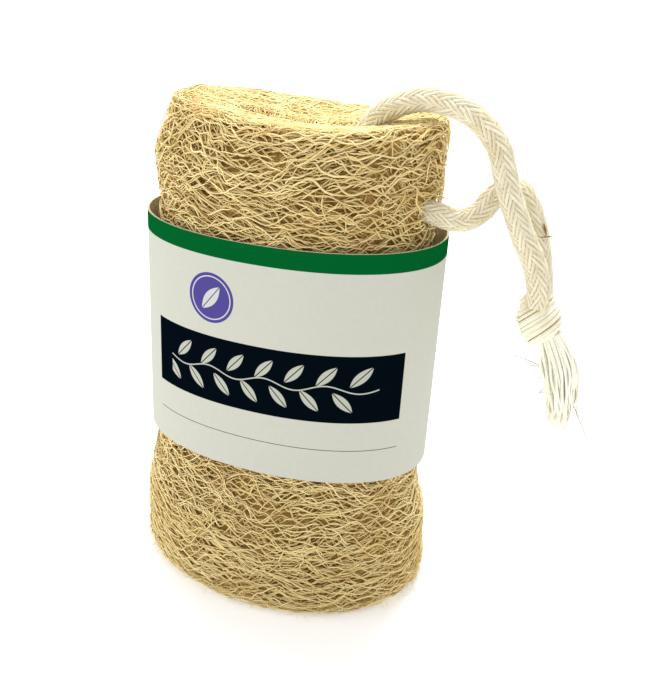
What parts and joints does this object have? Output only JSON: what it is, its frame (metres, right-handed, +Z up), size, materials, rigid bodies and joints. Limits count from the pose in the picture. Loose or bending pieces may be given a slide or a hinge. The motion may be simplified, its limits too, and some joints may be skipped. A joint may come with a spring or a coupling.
{
  "type": "natural loofah sponge",
  "caption": "Flattened natural loofah sponge with a raised fibre net, standing on its cut end in a glued paper sleeve, with a knotted cotton hanging cord and frayed tassel.",
  "frame": {"origin": "on the ground, under the middle of the sponge's cut end; the cord and its knot and tassel are left out of this", "axes": "+Z up along the sponge's length, -Y out of its wide front face, +X towards the side that the cord hangs on"},
  "size_m": [0.1126, 0.0592, 0.1286],
  "materials": {
    "loofah_fibre": "dry pale straw fibre net, matt, with dark ochre between the strands",
    "label_paper": "uncoated off-white card, matt, printed",
    "cotton_cord": "raw cream cotton, plaited, fuzzy"
  },
  "bodies": {
    "root": {"loofah_sponge": "loofah_fibre", "paper_sleeve": "label_paper", "hanging_cord": "cotton_cord", "cord_knot": "cotton_cord", "cord_tassel": "cotton_cord"}
  },
  "joints": []
}
